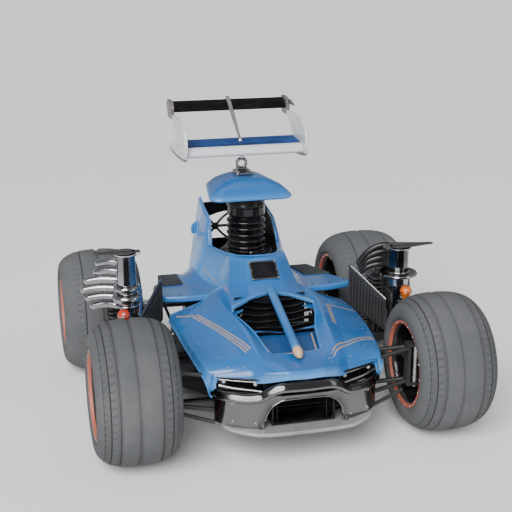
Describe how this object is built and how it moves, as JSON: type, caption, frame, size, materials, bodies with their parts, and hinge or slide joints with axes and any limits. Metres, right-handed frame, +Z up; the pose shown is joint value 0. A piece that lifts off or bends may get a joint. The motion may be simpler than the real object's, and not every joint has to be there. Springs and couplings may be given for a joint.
{
  "type": "open-wheel kart",
  "caption": "Open-wheel kart with tube frame, steered front wheels, live rear axle, side engines, blue nose and cockpit cowl, and a wing on a bellows-sleeved mast.",
  "frame": {"origin": "on the ground under the middle of the overall length, on the centre line", "axes": "+Z up, -Y towards the nose, +X towards the left-hand wheels of a driver facing forward"},
  "size_m": [1.45, 1.3676, 1.0798],
  "materials": {
    "frame_black": "satin black powder coat",
    "steel": "satin",
    "chain_steel": "oiled",
    "tyre_rubber": "matte",
    "rim_black": "gloss black",
    "caliper_red": "gloss",
    "engine_black": "gloss black",
    "chrome": "polished",
    "lamp_amber": "clear amber lens",
    "body_blue": "gloss blue paint",
    "panel_blue": "satin dark blue",
    "vent_black": "gloss black",
    "tip_tan": "satin tan",
    "black_chrome": "dark polished",
    "splitter_grey": "satin",
    "pad_grey": "matte, grit surface",
    "bellows_black": "gloss",
    "wing_white": "gloss"
  },
  "bodies": {
    "chassis": {"floor_tray": "frame_black", "side_rails": "frame_black", "cross_tubes": "frame_black", "body_posts": "frame_black", "front_arms": "frame_black", "kingpins": "steel", "steering_actuator": "frame_black", "rear_bearings": "frame_black", "brake_caliper": "caliper_red", "drive_chains": "chain_steel", "engine_blocks": "engine_black", "engine_heads": "engine_black", "header_pipes": "chrome", "side_radiators": "engine_black", "stack_left": "engine_black", "stack_right": "chrome", "lamps": "lamp_amber", "nose_shell": "body_blue", "nose_panel": "panel_blue", "louvre_slats": "vent_black", "spine_rod": "body_blue", "spine_tip": "tip_tan", "headlights": "vent_black", "bumper_fascia": "black_chrome", "bumper_lip": "black_chrome", "intake_duct": "vent_black", "splitter": "splitter_grey", "splitter_stays": "frame_black", "side_pods": "body_blue", "grip_pads": "pad_grey", "tower_cowl": "body_blue", "cockpit_window": "vent_black", "tower_brace": "frame_black", "mast_housing": "frame_black", "bellows": "bellows_black"},
    "knuckle_left": {"knuckle_left": "steel", "stub_nut_left": "steel"},
    "knuckle_right": {"knuckle_right": "steel", "stub_nut_right": "steel"},
    "front_wheel_left": {"front_tyre_left": "tyre_rubber", "front_rim_left": "rim_black"},
    "front_wheel_right": {"front_tyre_right": "tyre_rubber", "front_rim_right": "rim_black"},
    "steering_rack": {"rack_bar": "steel", "tie_rods": "frame_black"},
    "rear_axle": {"rear_axle": "steel", "rear_tyres": "tyre_rubber", "rear_rims": "rim_black", "axle_nuts": "steel", "axle_sprockets": "steel", "brake_disc": "steel"},
    "drive_left": {"drive_shaft_left": "steel"},
    "drive_right": {"drive_shaft_right": "steel"},
    "flap_left": {"flap_left": "engine_black"},
    "flap_right": {"flap_right": "engine_black"},
    "mirror": {"side_mirror": "body_blue"},
    "mast": {"mast_post": "steel", "mast_cap": "body_blue", "wing_eye": "vent_black", "wing": "wing_white"}
  },
  "joints": [
    {"name": "steer_left", "type": "hinge", "parent": "chassis", "child": "knuckle_left", "pos_m": [0.47, -0.434, 0.25], "axis": [0, 0, 1], "range_deg": [-20, 20]},
    {"name": "steer_right", "type": "hinge", "parent": "chassis", "child": "knuckle_right", "pos_m": [-0.47, -0.434, 0.25], "axis": [0, 0, 1], "range_deg": [-20, 20]},
    {"name": "rack_slide", "type": "slide", "parent": "chassis", "child": "steering_rack", "axis": [1, 0, 0], "range_m": [-0.034, 0.034]},
    {"name": "front_spin_left", "type": "hinge", "parent": "knuckle_left", "child": "front_wheel_left", "pos_m": [0.557, -0.434, 0.25], "axis": [1, 0, 0], "continuous": true},
    {"name": "front_spin_right", "type": "hinge", "parent": "knuckle_right", "child": "front_wheel_right", "pos_m": [-0.557, -0.434, 0.25], "axis": [1, 0, 0], "continuous": true},
    {"name": "rear_axle_spin", "type": "hinge", "parent": "chassis", "child": "rear_axle", "pos_m": [0, 0.438, 0.246], "axis": [1, 0, 0], "continuous": true},
    {"name": "drive_spin_left", "type": "hinge", "parent": "chassis", "child": "drive_left", "pos_m": [0.33, 0.06, 0.25], "axis": [1, 0, 0], "continuous": true},
    {"name": "drive_spin_right", "type": "hinge", "parent": "chassis", "child": "drive_right", "pos_m": [-0.33, 0.06, 0.25], "axis": [1, 0, 0], "continuous": true},
    {"name": "flap_hinge_left", "type": "hinge", "parent": "chassis", "child": "flap_left", "pos_m": [0.47, -0.1, 0.587], "axis": [0, -1, 0], "range_deg": [0, 60]},
    {"name": "flap_hinge_right", "type": "hinge", "parent": "chassis", "child": "flap_right", "pos_m": [-0.474, -0.1, 0.639], "axis": [0, 1, 0], "range_deg": [0, 60]},
    {"name": "mirror_fold", "type": "hinge", "parent": "chassis", "child": "mirror", "pos_m": [-0.176, 0.31, 0.6], "axis": [0, 0, 1], "range_deg": [-60, 20]},
    {"name": "mast_lift", "type": "slide", "parent": "chassis", "child": "mast", "axis": [0, 0, 1], "range_m": [0, 0.03], "deforming": ["bellows"]}
  ],
  "couplings": [
    {"joint": "steer_right", "follows": "steer_left", "ratio": 1},
    {"joint": "rack_slide", "follows": "steer_left", "m_per_rad": -0.095},
    {"joint": "drive_spin_left", "follows": "rear_axle_spin", "ratio": 2},
    {"joint": "drive_spin_right", "follows": "rear_axle_spin", "ratio": 2}
  ]
}
